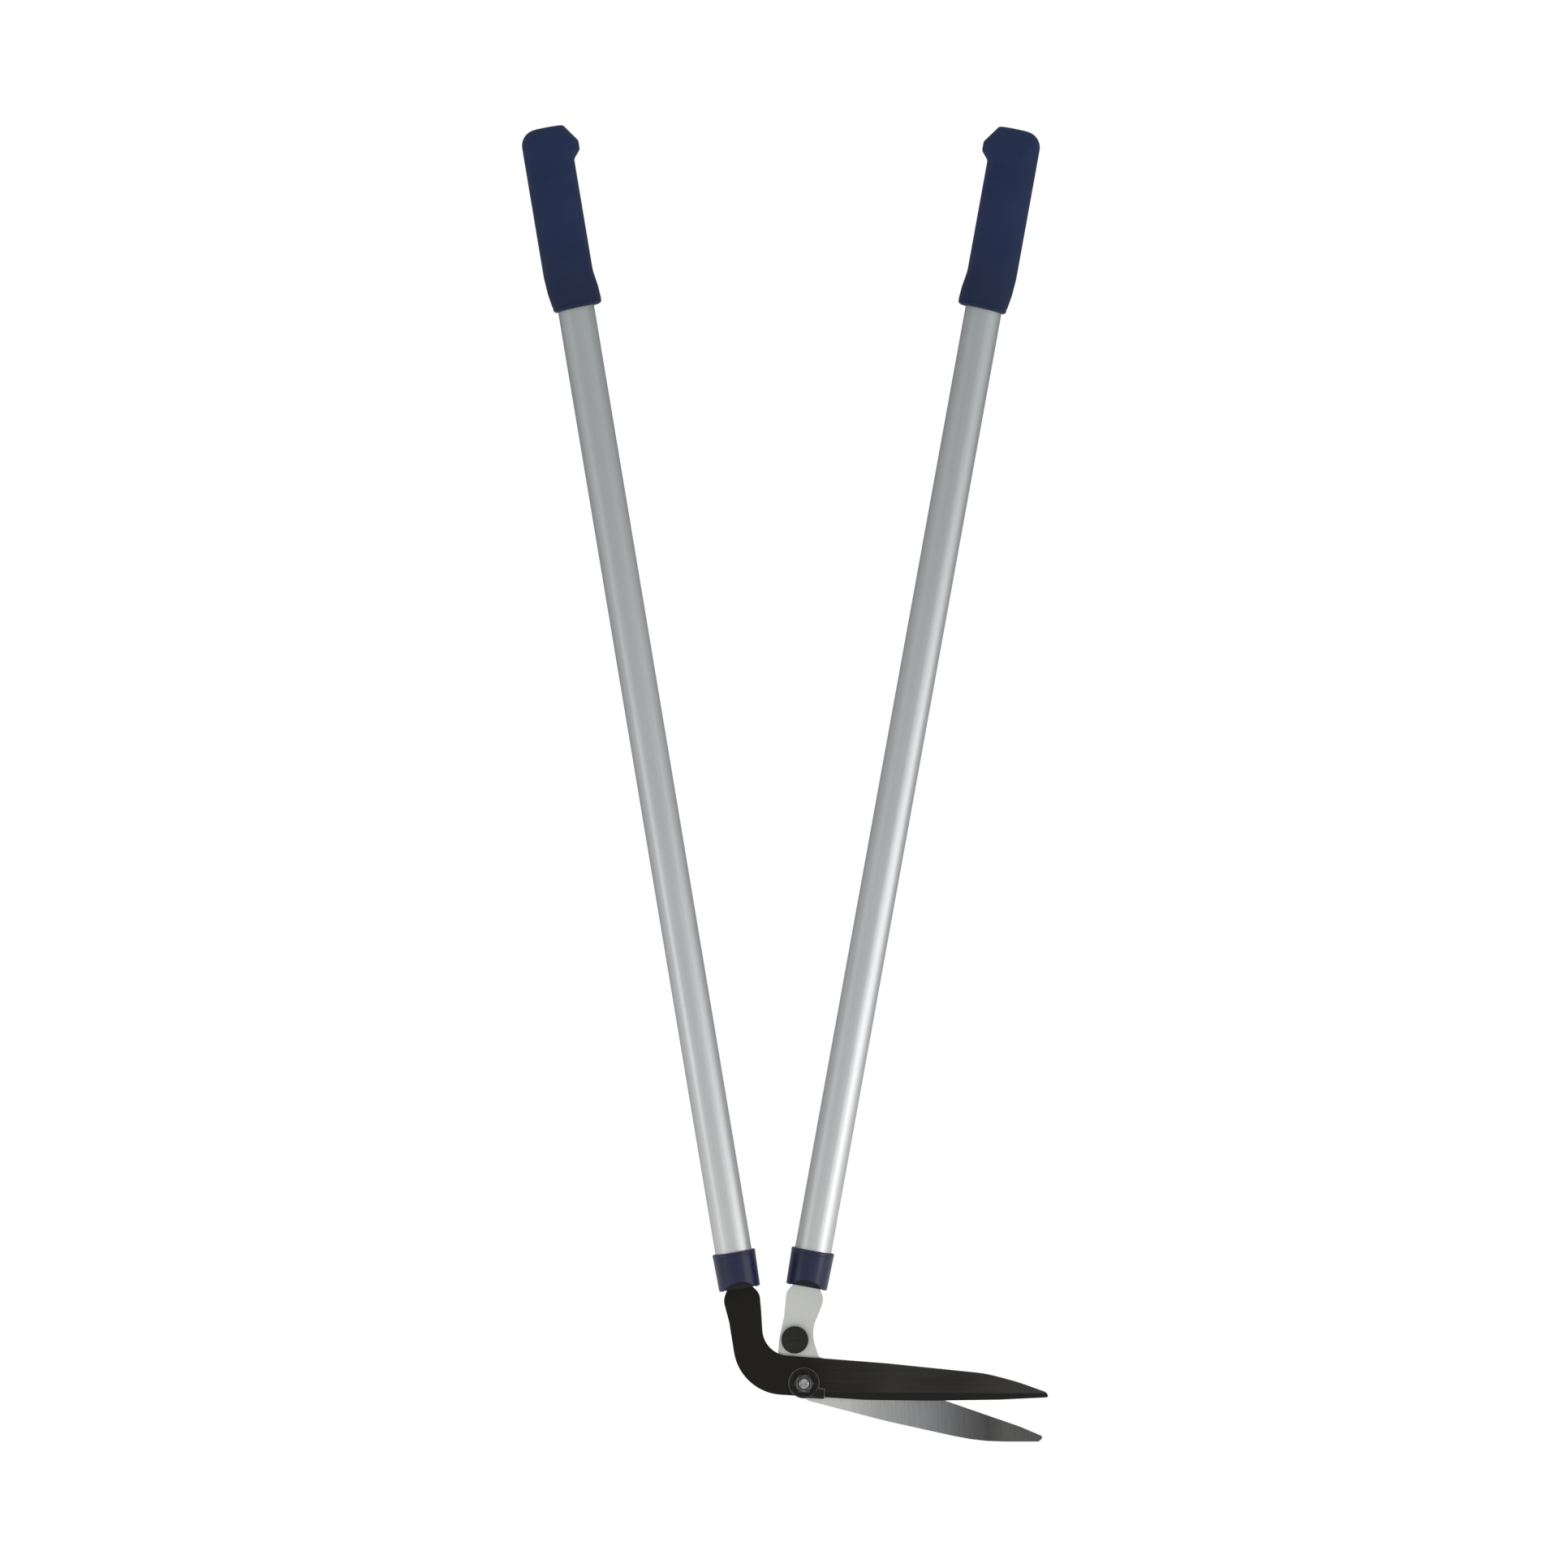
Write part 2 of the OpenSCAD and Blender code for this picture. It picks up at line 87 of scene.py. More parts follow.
class Shader:
    """A Principled material and short ways to add nodes to it."""

    def __init__(self, name, **constants):
        self.material = bpy.data.materials.new(name)
        self.material.use_nodes = True
        self.tree = self.material.node_tree
        self.bsdf = self.tree.nodes["Principled BSDF"]
        for key, value in constants.items():
            self.bsdf.inputs[key.replace("_", " ")].default_value = value
        self.where = self.add("ShaderNodeTexCoord").outputs["Object"]

    def add(self, kind, inputs=(), **settings):
        node = self.tree.nodes.new(kind)
        for key, value in settings.items():
            setattr(node, key, value)
        for key, value in dict(inputs).items():
            self.put(value, node.inputs[key])
        return node

    def put(self, value, socket):
        if isinstance(value, bpy.types.NodeSocket):
            self.tree.links.new(value, socket)
        else:
            socket.default_value = value

    def stretched(self, x, y, z):
        """Object coordinates scaled, so that a noise of scale 1 has features of 1/x, 1/y, 1/z metres."""
        return self.add("ShaderNodeMapping", {"Vector": self.where, "Scale": (x, y, z)}).outputs[0]

    def noise(self, vector, scale=1.0, detail=3.0, roughness=0.55):
        return self.add("ShaderNodeTexNoise", {
            "Vector": vector, "Scale": scale, "Detail": detail, "Roughness": roughness}).outputs[0]

    def cells(self, scale):
        return self.add("ShaderNodeTexVoronoi", {"Vector": self.where, "Scale": scale}).outputs[0]

    def along(self, axis):
        return self.add("ShaderNodeSeparateXYZ", {0: self.where}).outputs[axis]

    def span(self, value, low, high, to_low=0.0, to_high=1.0, smooth=False):
        return self.add("ShaderNodeMapRange", {
            "Value": value, "From Min": low, "From Max": high, "To Min": to_low, "To Max": to_high,
        }, interpolation_type="SMOOTHSTEP" if smooth else "LINEAR", clamp=True).outputs[0]

    def math(self, operation, a, b=0.0):
        return self.add("ShaderNodeMath", {0: a, 1: b}, operation=operation).outputs[0]

    def ramp(self, value, stops):
        """Colour along value from [position, colour] stops."""
        node = self.add("ShaderNodeValToRGB", {0: value})
        elements = node.color_ramp.elements
        while len(elements) < len(stops):
            elements.new(0.5)
        for element, (position, colour) in zip(elements, stops):
            element.position = position
            element.color = (*colour, 1)
        return node.outputs[0]

    def mix(self, share, a, b, blend="MIX"):
        node = self.add("ShaderNodeMix", data_type="RGBA", blend_type=blend)
        self.put(share, node.inputs[0])
        for value, socket in ((a, node.inputs[6]), (b, node.inputs[7])):
            self.put(value if isinstance(value, bpy.types.NodeSocket) else (*value, 1), socket)
        return node.outputs[2]

    def bump(self, height, strength, distance, normal=None):
        inputs = {"Height": height, "Strength": strength, "Distance": distance}
        if normal:
            inputs["Normal"] = normal
        return self.add("ShaderNodeBump", inputs).outputs[0]

    def edges(self, radius, low=0.03, high=0.22):
        """1 on edges and corners, 0 on flat stretches, ragged from a noise."""
        soft = self.add("ShaderNodeBevel", {"Radius": radius}, samples=4).outputs[0]
        true = self.add("ShaderNodeNewGeometry").outputs["Normal"]
        same = self.add("ShaderNodeVectorMath", {0: soft, 1: true}, operation="DOT_PRODUCT")
        turned = self.math("SUBTRACT", 1.0, same.outputs["Value"])
        ragged = self.span(self.noise(self.where, 900, 4), 0.35, 0.65, 0.35, 1.3)
        return self.span(self.math("MULTIPLY", turned, ragged), low, high)

    def finish(self, colour, roughness, normal, metallic=None):
        """Puts the results on the material's own sockets. A plain number is as good as a link."""
        for value, socket in (
            (colour, "Base Color"), (roughness, "Roughness"), (normal, "Normal"), (metallic, "Metallic"),
        ):
            if value is not None:
                self.put(value, self.bsdf.inputs[socket])
        return self.material


# ---------------------------------------------------------------- materials

def toned(colour, gain, lift=0.0):
    """A colour made lighter or darker."""
    return [gain * c + lift for c in colour]


def soft_rubber(name, dark, light, scale=1.0, foot=None):
    """Moulded soft rubber: cloudy colour and gloss, pale specks, fine stipple, edges rubbed pale."""
    s = Shader(name, Specular_IOR_Level=0.2)
    cloud = s.noise(s.where, 38 * scale, 4)
    speck = s.noise(s.where, 1500 * scale, 2)
    colour = s.mix(s.span(cloud, 0.3, 0.7), dark, light)
    if foot:
        colour = s.mix(s.span(s.along(2), -0.01, -0.065), colour, foot)
    colour = s.mix(s.span(speck, 0.55, 0.8, 0, 0.22), colour, toned(light, 1.7, 0.006))
    worn = s.edges(0.0012)
    colour = s.mix(s.math("MULTIPLY", worn, 0.3), colour, toned(light, 1.9, 0.012))
    gloss = s.span(s.noise(s.where, 60 * scale, 3), 0.3, 0.7, 0.5, 0.66)
    stipple = s.bump(s.cells(1900 * scale), 0.22, 0.00012)
    normal = s.bump(cloud, 0.12, 0.0006, stipple)
    return s.finish(colour, gloss, normal)


def glossy_plastic(name, dark, light):
    """Glossy moulded plastic: flow marks, orange peel, fine scratches, pale corners, painted shade in hollows."""
    s = Shader(name, Coat_Weight=0.55, Coat_Roughness=0.3, Specular_IOR_Level=0.2)
    flow = s.noise(s.stretched(60, 60, 190), 1, 4)
    colour = s.mix(s.span(flow, 0.3, 0.7), dark, light)
    colour = s.mix(s.math("MULTIPLY", s.edges(0.0007), 0.25), colour, toned(light, 1.5, 0.01))
    # Painted shade: faces in hollows and recesses, found by ambient occlusion, are darkened in the colour
    recess_shade = s.add("ShaderNodeAmbientOcclusion", {"Distance": 0.015}, samples=8).outputs["AO"]
    colour = s.mix(s.span(recess_shade, 0.62, 0.95), toned(dark, 0.15), colour)
    scratch = s.noise(s.stretched(420, 420, 3600), 1, 2)
    gloss = s.span(scratch, 0.35, 0.75, 0.36, 0.5)
    peel = s.bump(s.noise(s.where, 480, 2), 0.14, 0.0003)
    normal = s.bump(scratch, 0.06, 0.0001, peel)
    return s.finish(colour, gloss, normal)


def matt_plastic(name, dark, light):
    """Plain moulded plastic: cloudy colour and gloss, fine grain."""
    s = Shader(name, Specular_IOR_Level=0.4)
    cloud = s.noise(s.where, 160, 4)
    normal = s.bump(s.noise(s.where, 2600, 2), 0.25, 0.0001)
    return s.finish(s.mix(cloud, dark, light), s.span(cloud, 0.3, 0.7, 0.5, 0.68), normal)


def anodised_tube(name):
    """Drawn, satin anodised aluminium: fine lines along the tube, faint clouding, rub marks, painted light towards
    the foot.
    """
    s = Shader(name)
    height = s.along(2)
    lines = s.noise(s.stretched(1500, 1500, 9), 1, 3, 0.6)
    bands = s.noise(s.stretched(170, 170, 2.2), 1, 3)
    cloud = s.noise(s.stretched(30, 30, 12), 1, 3)
    # Painted light and shade: the tube's colour is lighter towards its foot and greyer towards its top
    painted_light_height = s.span(height, -0.82, -0.07)
    colour = s.ramp(painted_light_height, [
        [0.0, (0.75, 0.75, 0.75)], [0.3, (0.72, 0.725, 0.73)], [0.62, (0.66, 0.67, 0.68)],
        [0.86, (0.60, 0.61, 0.62)], [1.0, (0.57, 0.605, 0.60)]])
    colour = s.mix(s.span(lines, 0.3, 0.7, 0.0, 0.10), colour, (0.25, 0.26, 0.26))
    colour = s.mix(s.span(bands, 0.35, 0.75, 0.0, 0.10), colour, (0.92, 0.93, 0.93))
    colour = s.mix(s.span(cloud, 0.4, 0.75, 0.0, 0.07), colour, (0.42, 0.43, 0.42))
    scuff = s.span(s.noise(s.stretched(260, 260, 75), 1, 5, 0.7), 0.66, 0.8)
    gloss = s.math("ADD", s.span(bands, 0.3, 0.7, 0.37, 0.45), s.math("MULTIPLY", scuff, 0.12))
    normal = s.bump(lines, 0.10, 0.00008)
    normal = s.bump(s.noise(s.where, 3200, 2), 0.08, 0.00005, normal)
    return s.finish(colour, gloss, normal, s.span(scuff, 0, 1, 0.86, 0.7))


def coated_blade(name):
    """Satin black coating on rolled steel: lengthwise grain, painted sheen along the blade, painted shade on the
    downward-facing bevel by the edge, bare worn edges.
    """
    s = Shader(name, Specular_IOR_Level=0.2)
    x = s.along(0)
    grain = s.noise(s.stretched(9, 300, 620), 1, 4, 0.6)
    smear = s.noise(s.stretched(14, 60, 95), 1, 4)
    # Painted sheen and shade: the coating's colour gets lighter and darker by position along the blade
    painted_sheen_ramp = s.ramp(s.span(x, -0.07, 0.19), [
        [0.0, (0.0080, 0.0068, 0.0046)], [0.28, (0.0085, 0.0075, 0.0055)],
        [0.45, (0.0185, 0.0175, 0.0142)], [0.53, (0.0350, 0.0335, 0.0305)],
        [0.63, (0.0290, 0.0276, 0.0230)], [0.72, (0.0225, 0.0215, 0.0180)],
        [0.83, (0.0390, 0.0375, 0.0335)], [1.0, (0.0500, 0.0485, 0.0455)]])
    on_blade = s.span(x, 0.0, 0.03, smooth=True)
    streaks = s.math("MULTIPLY", s.span(grain, 0.42, 0.72), on_blade)
    colour = s.mix(s.math("MULTIPLY", streaks, 0.5), painted_sheen_ramp, (0.042, 0.041, 0.037))
    colour = s.mix(s.span(smear, 0.35, 0.7, 0.0, 0.45), colour, (0.010, 0.009, 0.0065))
    # Painted shade: the downward-facing faces of the bevel by the edge are darkened in the colour; they are also a
    # little rougher
    facing = s.add("ShaderNodeTexCoord").outputs["Normal"]
    down = s.add("ShaderNodeSeparateXYZ", {0: facing}).outputs[2]
    downward_bevel_shade = s.math("MULTIPLY", s.span(down, -0.15, -0.4), s.span(down, -0.8, -0.6))
    colour = s.mix(s.math("MULTIPLY", downward_bevel_shade, 0.9), colour, (0.0052, 0.0047, 0.0038))
    worn = s.edges(0.0005)
    colour = s.mix(s.math("MULTIPLY", worn, 0.55), colour, (0.16, 0.155, 0.145))
    gloss = s.math("ADD", s.span(smear, 0.3, 0.7, 0.40, 0.52), s.math("MULTIPLY", downward_bevel_shade, 0.08))
    normal = s.bump(grain, 0.10, 0.0001)
    normal = s.bump(s.noise(s.where, 1400, 3), 0.10, 0.00008, normal)
    return s.finish(colour, gloss, normal, s.math("MULTIPLY", worn, 0.6))


def ground_blade(name):
    """Bare ground steel: cross grinding marks on the blade, with a painted reflection that darkens it towards the
    tip.
    """
    s = Shader(name)
    x, z = s.along(0), s.along(2)
    marks = s.noise(s.stretched(850, 300, 45), 1, 3, 0.6)
    fine = s.noise(s.stretched(2600, 600, 240), 1, 2)
    cloud = s.noise(s.where, 75, 4)
    # Painted reflection: the steel's colour is bright at the neck and darkens towards the tip by position
    painted_sheen_ramp = s.ramp(s.span(x, 0.0, 0.19), [
        [0.0, (0.80, 0.81, 0.79)], [0.16, (0.73, 0.725, 0.70)], [0.30, (0.51, 0.52, 0.51)],
        [0.49, (0.335, 0.345, 0.35)], [0.62, (0.187, 0.187, 0.190)], [0.74, (0.096, 0.095, 0.092)],
        [0.82, (0.150, 0.147, 0.143)], [1.0, (0.130, 0.128, 0.125)]])
    blade = s.math("MULTIPLY", s.span(x, 0.008, 0.03), s.span(z, 0.02, 0.005))
    dark = s.mix(1.0, painted_sheen_ramp, (0.62, 0.62, 0.63), "MULTIPLY")
    ground = s.math("MULTIPLY", s.span(marks, 0.35, 0.7), s.math("MULTIPLY", blade, 0.5))
    colour = s.mix(ground, painted_sheen_ramp, dark)
    colour = s.mix(s.span(cloud, 0.45, 0.8, 0.0, 0.14), colour, dark)
    worn = s.edges(0.0005)
    colour = s.mix(s.math("MULTIPLY", worn, 0.5), colour, (0.86, 0.86, 0.85))
    gloss = s.span(marks, 0.3, 0.7, 0.33, 0.46)
    normal = s.bump(marks, 0.14, 0.00008)
    normal = s.bump(fine, 0.10, 0.00004, normal)
    return s.finish(colour, gloss, normal, s.span(cloud, 0.3, 0.8, 0.92, 0.80))


def fastener(name, dark, light, metallic, gloss, wear=(0.6, 0.6, 0.58), shine=0.5):
    """Turned or pressed steel part: blotchy finish, fine grain, bright corners."""
    s = Shader(name, Specular_IOR_Level=shine)
    cloud = s.noise(s.where, 330, 3)
    fine = s.noise(s.where, 2800, 3)
    colour = s.mix(s.span(cloud, 0.35, 0.65), dark, light)
    colour = s.mix(s.math("MULTIPLY", s.edges(0.0006, 0.02, 0.2), 0.8), colour, wear)
    rough = s.span(fine, 0.3, 0.7, gloss - 0.06, gloss + 0.1)
    normal = s.bump(fine, 0.10, 0.00004)
    return s.finish(colour, rough, normal, metallic)


looks = {
    "black_steel": coated_blade("black_coated_steel"),
    "ground_steel": ground_blade("ground_steel"),
    "tube_aluminium": anodised_tube("anodised_aluminium"),
    "ferrule_plastic": glossy_plastic(
        "navy_gloss_plastic", (0.0060, 0.0096, 0.042), (0.0113, 0.0161, 0.067)),
    "grip_rubber": soft_rubber(
        "navy_soft_rubber", (0.0145, 0.0280, 0.083), (0.0195, 0.0365, 0.106),
        foot=(0.0148, 0.0265, 0.070)),
    "nylon": matt_plastic("white_nylon", (0.60, 0.59, 0.55), (0.70, 0.69, 0.65)),
    "lock_nylon": matt_plastic("dark_lock_nylon", (0.010, 0.010, 0.012), (0.022, 0.022, 0.025)),
    "plug_plastic": matt_plastic("black_plug_plastic", (0.016, 0.016, 0.016), (0.03, 0.03, 0.03)),
    "zinc_steel": fastener(
        "zinc_plated_steel", (0.24, 0.24, 0.23), (0.56, 0.56, 0.55), metallic=1.0, gloss=0.24,
        wear=(0.9, 0.9, 0.9)),
    "dark_steel": fastener(
        "black_oxide_steel", (0.010, 0.010, 0.0095), (0.020, 0.020, 0.019), metallic=0.4, gloss=0.36,
        wear=(0.9, 0.9, 0.88), shine=0.25),
    "spring_steel": fastener(
        "spring_steel", (0.16, 0.16, 0.165), (0.26, 0.26, 0.26), metallic=1.0, gloss=0.34),
    "buffer_rubber": soft_rubber(
        "black_buffer_rubber", (0.016, 0.0155, 0.0145), (0.0265, 0.0258, 0.024), scale=1.6),
}
slot_of = {row["node"]: row["material_slot"] for row in frame["record"]["subparts"]}


# ---------------------------------------------------------------- mesh helpers

SAME_PLANE = radians(0.4)
HARD_EDGE = radians(28)
ARC_STEPS = 8


def new_piece(name, bm, place, body, nodes, sharp):
    """An object from a bmesh in the frame `place`: smooth but for its sharp edges, riding on a body."""
    bmesh.ops.recalc_face_normals(bm, faces=bm.faces)
    mesh = bpy.data.meshes.new(name)
    bm.to_mesh(mesh)
    bm.free()
    for face in mesh.polygons:
        face.use_smooth = True
    mesh.set_sharp_from_angle(angle=radians(sharp))
    piece = bpy.data.objects.new(name, mesh)
    bpy.context.scene.collection.objects.link(piece)
    piece.matrix_world = place
    slot = slot_of[nodes[0]]
    mesh.materials.append(looks[slot])
    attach(piece, body)
    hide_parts(*nodes)
    return piece


def refined(node, body, width, place=at_pivot, segments=3):
    """The CAD node's shape with its flat faces made whole and its hard edges rounded, width in mm."""
    bm = bmesh.new()
    bm.from_mesh(frame["nodes"][node].data)
    bmesh.ops.remove_doubles(bm, verts=bm.verts, dist=2e-6)
    bmesh.ops.transform(bm, matrix=place.inverted(), verts=bm.verts)
    bmesh.ops.dissolve_limit(bm, angle_limit=SAME_PLANE, verts=bm.verts, edges=bm.edges)
    hard = [
        e for e in bm.edges
        if len(e.link_faces) == 2 and e.calc_face_angle() > HARD_EDGE
    ]
    bmesh.ops.bevel(
        bm, geom=hard, offset=width * MM, offset_type="OFFSET", segments=segments, profile=0.5,
        affect="EDGES", clamp_overlap=True)
    piece = new_piece(node + "_finish", bm, place, body, [node], sharp=40)
    piece.modifiers.new("even_shading", "WEIGHTED_NORMAL").keep_sharp = True


def rounded(corners):
    """A polyline from corners (x, y, radius) with each inner corner rounded."""
    points = [Vector(corners[0][:2])]
    for before, here, after in zip(corners, corners[1:], corners[2:]):
        a, b, c, r = Vector(before[:2]), Vector(here[:2]), Vector(after[:2]), here[2]
        u, v = (a - b).normalized(), (c - b).normalized()
        half = u.angle(v) / 2
        reach = r / sin(half) * cos(half)
        centre = b + (u + v).normalized() * (r / sin(half))
        first, last = b + u * reach - centre, b + v * reach - centre
        start = atan2(first.y, first.x)
        turn = (atan2(last.y, last.x) - start + 3 * pi) % (2 * pi) - pi
        for i in range(ARC_STEPS + 1):
            at = start + turn * i / ARC_STEPS
            points.append(centre + r * Vector((cos(at), sin(at))))
    return points + [Vector(corners[-1][:2])]


def reach_at(line, height):
    """How far out a side's polyline is at a height."""
    for a, b in zip(line, line[1:]):
        if a.y <= height <= b.y and b.y > a.y:
            return a.x + (b.x - a.x) * (height - a.y) / (b.y - a.y)
    return line[-1].x if height > line[-1].y else line[0].x


# ---------------------------------------------------------------- grips

# Lengths in millimetres, heights from the grip's foot
GRIP = 140.0
TUBE_R = 14.05        # inside, just over the tube
CAP = 7               # thickness of the closed top, where the bore ends
PALM_INNER = 17.5     # from the tube's axis to the inner side, where the palm holds
HALF_DEPTH = 17.5
FOOT_R = 2.5
DOME_R = 10.5
HOOK_FROM = 4         # the hook bulges only beyond this, towards the inner side
KINK = 27             # where the flared foot meets the straight palm
LIP = 14              # the foot's tilted stretch
LIP_SLOPE = 0.052
GROOVE_AT = 3.4
GROOVE_DEPTH = 0.45
GROOVE_HALF = 0.6
LAST_RING = GRIP - 0.02
AROUND = 80           # points in a ring
outer_side = rounded([
    (14.4, 0, 0), (17.0, 0, 2.5), (19.5, 14, 30), (20.5, KINK, 30), (20.5, GRIP - 0.6, 12.3), (0, GRIP, 0)])
inner_side = rounded([
    (16.6, 0, 0), (20.5, 0, 3.2), (19.6, 14, 30), (PALM_INNER, KINK, 30), (PALM_INNER, GRIP - 27, 4),
    (22.9, GRIP - 20.5, 4), (22.9, GRIP - 13.5, 3.5), (13.2, GRIP - 0.1, 2.5), (0, GRIP, 0)])


def half_depth(height):
    """Half the grip's size front to back: a little more at the rounded foot, less at the domed top."""
    full = HALF_DEPTH + 0.5 * max(0.0, 1 - height / KINK)
    if height < FOOT_R:
        return full - FOOT_R + sqrt(FOOT_R ** 2 - (FOOT_R - height) ** 2)
    if height > GRIP - DOME_R:
        return full - DOME_R + sqrt(max(0.0, DOME_R ** 2 - (height - GRIP + DOME_R) ** 2))
    return full


def section(bm, outer, inner, depth, height, inward, squareness=2.35):
    """One ring of the grip, a superellipse across from -outer to +inner. Squareness 2 is round.

    The hook at the top bulges from the inner side only, so the ring's far half stays as it is.
    """
    hook = max(0.0, inner - PALM_INNER) if height > GRIP / 2 else 0.0
    inner -= hook
    middle, half = (inner - outer) / 2, (inner + outer) / 2
    tilt = LIP_SLOPE * max(0.0, 1 - height / LIP) ** 2
    ring = []
    for k in range(AROUND):
        a = 2 * pi * k / AROUND
        c, s = cos(a), sin(a)
        x = middle + half * (1 if c >= 0 else -1) * abs(c) ** (2 / squareness)
        share = min(1.0, max(0.0, (x - HOOK_FROM) / (PALM_INNER - HOOK_FROM)))
        x += hook * share ** 2 * (3 - 2 * share)
        y = depth * (1 if s >= 0 else -1) * abs(s) ** (2 / squareness)
        ring.append(bm.verts.new((inward * x * MM, y * MM, (height + tilt * x - GRIP / 2) * MM)))
    return ring


def join(bm, a, b):
    for k in range(AROUND):
        n = (k + 1) % AROUND
        bm.faces.new((a[k], a[n], b[n], b[k]))


def ring_heights():
    """Heights of the outer rings: closer together at the foot, the groove, the bends and the dome."""
    bends = [round(p.y, 2) for p in outer_side + inner_side]
    foot = [0.05, 0.3, 0.8, 1.5, 2.0]
    groove = [GROOVE_AT - 1 + 0.2 * i for i in range(11)]
    palm = [2.5 * i for i in range(2, 56)]
    dome = [GRIP - DOME_R * (1 - sin(radians(d))) for d in range(0, 90, 9)]
    return [h for h in sorted(set(bends + foot + groove + palm + dome)) if 0 <= h <= LAST_RING]


def build_grip(side):
    """A closed sleeve: down the bore from its blind end, round the foot and up the outside."""
    inward = 1 if side == "left" else -1
    bm = bmesh.new()
    bore = (TUBE_R, GRIP - CAP), (TUBE_R, 0.6), (TUBE_R + 0.5, 0.05)
    rings = [section(bm, radius, radius, radius, height, inward, 2.0) for radius, height in bore]
    for height in ring_heights():
        groove = GROOVE_DEPTH * max(0.0, 1 - abs(height - GROOVE_AT) / GROOVE_HALF)
        reaches = reach_at(outer_side, height), reach_at(inner_side, height), half_depth(height)
        rings.append(section(bm, *(reach - groove for reach in reaches), height, inward))
    top = reach_at(outer_side, LAST_RING), reach_at(inner_side, LAST_RING), half_depth(GRIP)
    for share in (0.85, 0.55, 0.2):
        rings.append(section(bm, *(reach * share for reach in top), GRIP, inward))
    for a, b in zip(rings, rings[1:]):
        join(bm, a, b)
    for ring in (rings[0], rings[-1]):
        bm.faces.new(ring)
    new_piece(side + "_grip_finish", bm, handles[side], body_of_side[side], [side + "_grip"], sharp=50)


for side in ("left", "right"):
    build_grip(side)
    refined(side + "_tube", body_of_side[side], 0.2, handles[side], segments=2)
    refined(side + "_ferrule", body_of_side[side], 0.3, handles[side])

refined("black_blade", "black_arm", 0.35)
refined("silver_blade", "silver_arm", 0.35)
for node in ("pivot_bolt", "pivot_nut", "front_washer", "tab_washer"):
    refined(node, "black_arm", 0.2)
for node in ("spring_washer", "back_washer"):
    refined(node, "black_arm", 0.15)
for node in ("buffer", "buffer_rivet", "buffer_washer"):
    refined(node, "silver_arm", 0.2)

# Pieces with no finish of their own show their CAD shapes
for node, obj in frame["nodes"].items():
    if not obj.hide_render:
        obj.data.materials.clear()
        obj.data.materials.append(looks[slot_of[node]])


# ---------------------------------------------------------------- stage, light, camera

FLOOR_DROP = 0.045                # the floor is this far below the blades
FLOOR_HALF = 4.0                  # half its side
FADE_FROM, FADE_TO = 0.9, 2.6     # it fades out between these distances from its middle
GLOW_SHARE = 0.92                 # the rest is white paper, which takes the light
GLOW_CAST, GLOW_SEEN = 0.8, 1.06  # strength as light on the object, and to the camera
SKY_FRONT, SKY_BACK = 0.52, 0.26  # strength of the light from the camera's side and from behind


def make_nodes(tree, *kinds):
    """New shader nodes of these kinds, in order."""
    return [tree.nodes.new("ShaderNode" + kind) for kind in kinds]


def wire(tree, *pairs):
    """Links each pair of an output and an input."""
    for output, socket in pairs:
        tree.links.new(output, socket)


def set_range(node, *limits):
    """Sets a Map Range node's limits: from min, from max, to min, to max."""
    for key, value in zip(("From Min", "From Max", "To Min", "To Max"), limits):
        node.inputs[key].default_value = value


def floor_material():
    """White paper with a glow, a little stronger to the camera, which fades to clear far out."""
    material = bpy.data.materials.new("pale_floor")
    material.use_nodes = True
    tree = material.node_tree
    tree.nodes.clear()
    out, paper, glow, both = make_nodes(tree, "OutputMaterial", "BsdfDiffuse", "Emission", "MixShader")
    clear, fade, ray, shine = make_nodes(tree, "BsdfTransparent", "MixShader", "LightPath", "MapRange")
    where, far, edge = make_nodes(tree, "TexCoord", "VectorMath", "MapRange")
    paper.inputs["Color"].default_value = (0.9, 0.9, 0.9, 1)
    both.inputs[0].default_value = GLOW_SHARE
    far.operation = "LENGTH"
    set_range(shine, 0, 1, GLOW_CAST, GLOW_SEEN)
    set_range(edge, FADE_FROM, FADE_TO, 0, 1)
    wire(
        tree,
        (ray.outputs["Is Camera Ray"], shine.inputs["Value"]), (shine.outputs[0], glow.inputs["Strength"]),
        (where.outputs["Object"], far.inputs[0]), (far.outputs["Value"], edge.inputs["Value"]),
        (paper.outputs[0], both.inputs[1]), (glow.outputs[0], both.inputs[2]),
        (edge.outputs[0], fade.inputs[0]), (both.outputs[0], fade.inputs[1]),
        (clear.outputs[0], fade.inputs[2]), (fade.outputs[0], out.inputs["Surface"]),
    )
    return material


def build_floor(height):
    bm = bmesh.new()
    bmesh.ops.create_grid(bm, x_segments=8, y_segments=8, size=FLOOR_HALF)
    mesh = bpy.data.meshes.new("floor")
    bm.to_mesh(mesh)
    bm.free()
    mesh.materials.append(floor_material())
    floor = bpy.data.objects.new("floor", mesh)
    bpy.context.scene.collection.objects.link(floor)
    floor.location = (0, 0, height)


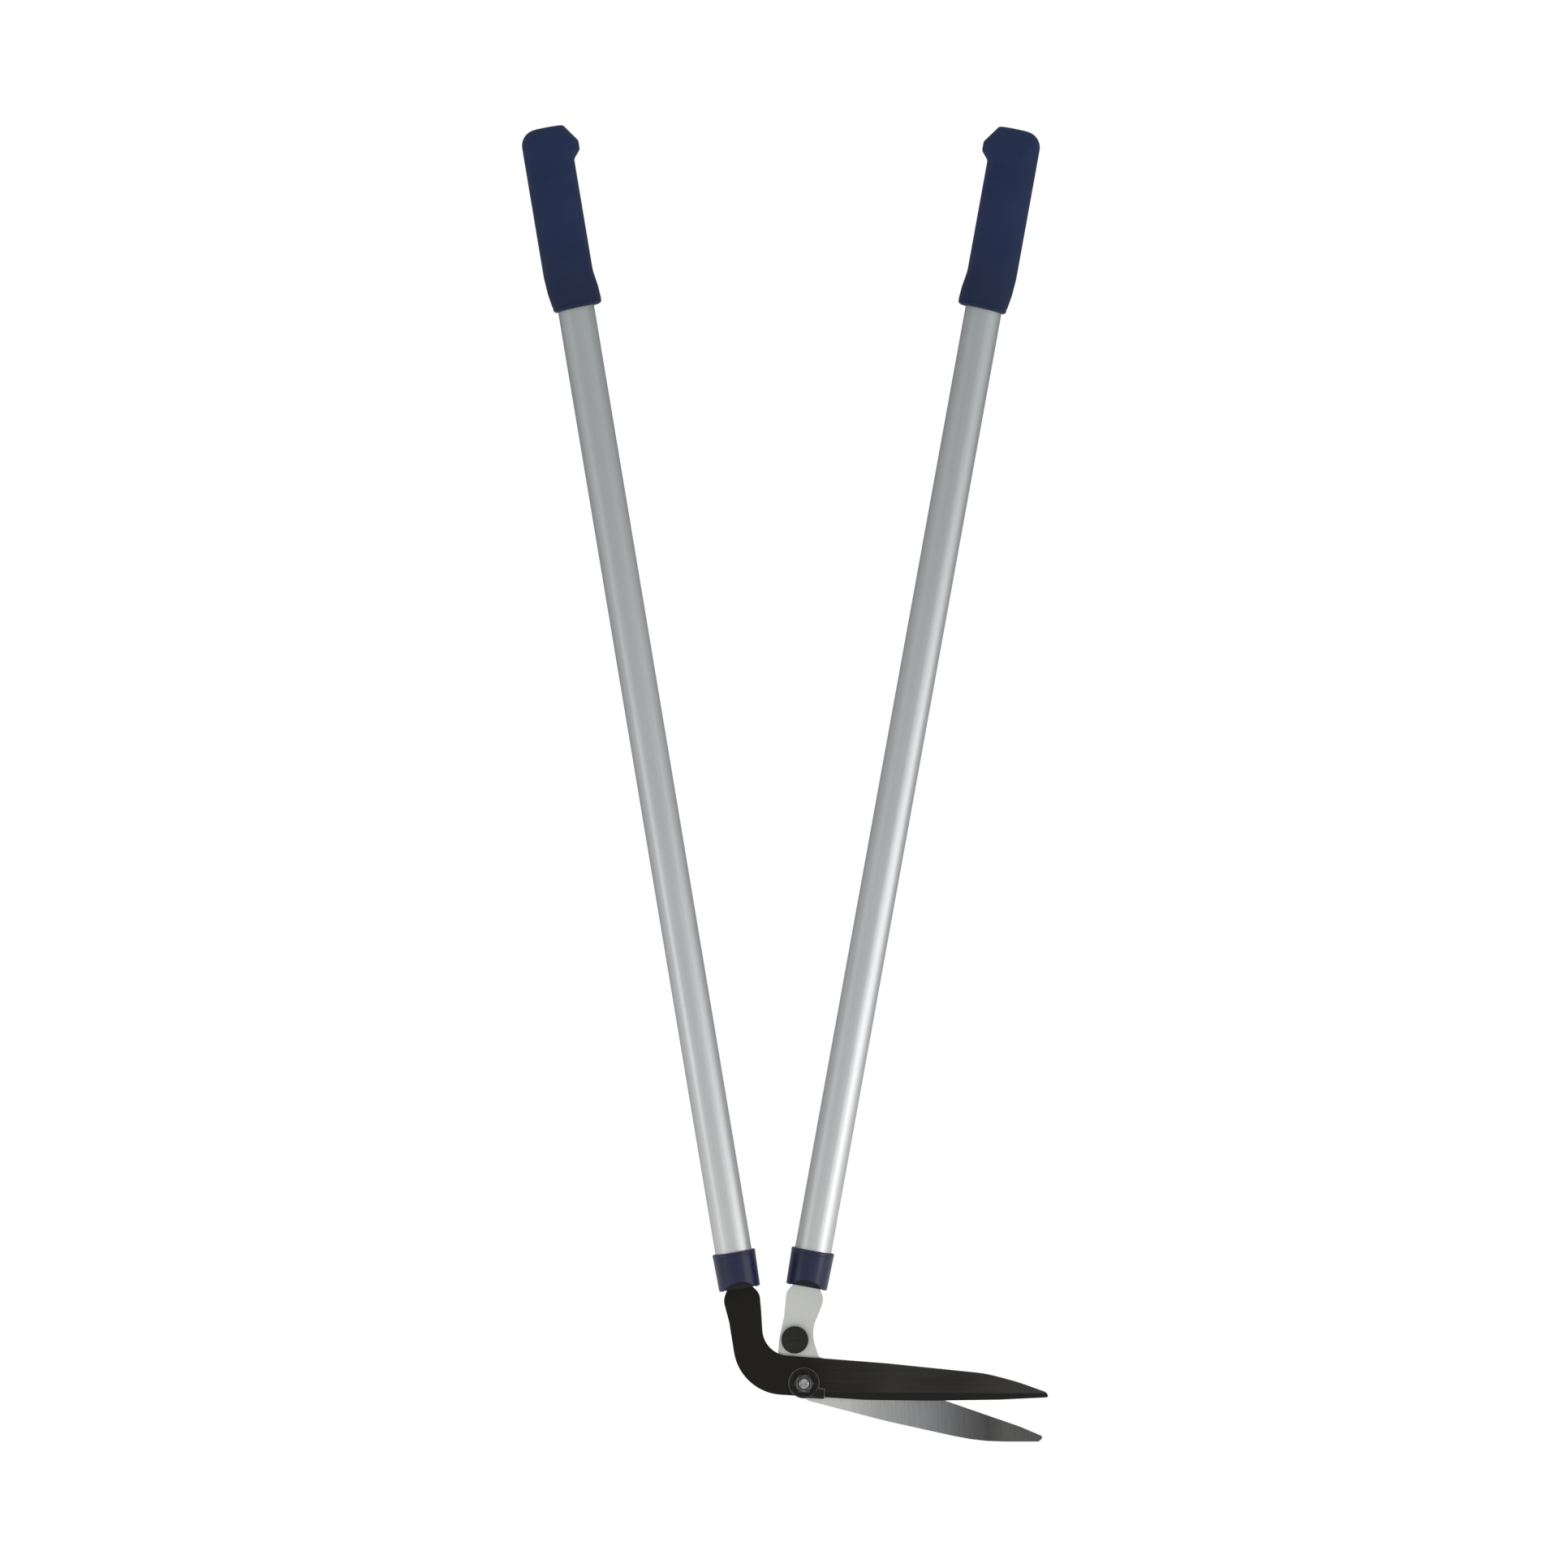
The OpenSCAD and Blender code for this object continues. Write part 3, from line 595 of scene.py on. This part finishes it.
def build_world():
    """White to the camera. As light it is brighter from the camera's side than from behind."""
    world = bpy.data.worlds.new("studio")
    bpy.context.scene.world = world
    world.use_nodes = True
    tree = world.node_tree
    sky = tree.nodes["Background"]
    white, mixed, ray = make_nodes(tree, "Background", "MixShader", "LightPath")
    way, split, dim = make_nodes(tree, "TexCoord", "SeparateXYZ", "MapRange")
    sky.inputs["Color"].default_value = (0.98, 0.99, 1.0, 1)
    white.inputs["Color"].default_value = (1, 1, 1, 1)
    dim.interpolation_type = "SMOOTHSTEP"
    set_range(dim, 0.05, 0.95, SKY_FRONT, SKY_BACK)
    wire(
        tree,
        (way.outputs["Generated"], split.inputs[0]), (split.outputs["Y"], dim.inputs["Value"]),
        (dim.outputs[0], sky.inputs["Strength"]), (ray.outputs["Is Camera Ray"], mixed.inputs[0]),
        (sky.outputs[0], mixed.inputs[1]), (white.outputs[0], mixed.inputs[2]),
        (mixed.outputs[0], tree.nodes["World Output"].inputs["Surface"]),
    )


def softbox(name, azimuth, distance, height, width, tall, power, elevation=0.0):
    """A soft rectangular light, turned to the object's middle at its own height.

    Azimuth 0 is the camera's side, positive towards +X.
    """
    a, e = radians(azimuth), radians(elevation)
    lamp = bpy.data.lights.new(name, "AREA")
    lamp.shape = "RECTANGLE"
    lamp.size, lamp.size_y, lamp.energy = width, tall, power
    light = bpy.data.objects.new(name, lamp)
    bpy.context.scene.collection.objects.link(light)
    target = Vector((middle.x, middle.y, height))
    light.location = target + Vector((sin(a) * cos(e), -cos(a) * cos(e), sin(e))) * distance
    light.rotation_euler = (target - light.location).to_track_quat("-Z", "Y").to_euler()
    light.visible_camera = False


low, high = Vector(cad_box[0]), Vector(cad_box[1])
middle = (low + high) / 2
build_floor(low.z - FLOOR_DROP)
softbox("key_right", 66, 1.7, low.z, 1.6, 0.55, 6.0)
softbox("low_glint", 56, 0.8, low.z - 0.01, 0.3, 0.05, 0.32)
softbox("rim_left", -60, 1.7, low.z + 0.02, 0.5, 0.45, 1.4)
softbox("top_fill", 0, 2.4, high.z, 2.0, 1.2, 6, elevation=50)
build_world()
bpy.context.scene.view_settings.view_transform = "Standard"

# The camera is level, square to the arms and aimed a little left of the pivot, half-way up
DISTANCE = 9.0
SEEN = 1.198          # width of the picture at the pivot
AIM = Vector((pivot.x - 0.0152, pivot.y, pivot.z + 0.4575))
camera_data = bpy.data.cameras.new("camera")
camera = bpy.data.objects.new("camera", camera_data)
bpy.context.scene.collection.objects.link(camera)
camera.location = AIM - Vector((0, DISTANCE, 0))
camera.rotation_euler = (pi / 2, 0, 0)
camera_data.sensor_width = 36
camera_data.lens = camera_data.sensor_width * DISTANCE / SEEN
camera_data.clip_end = 50
bpy.context.scene.camera = camera
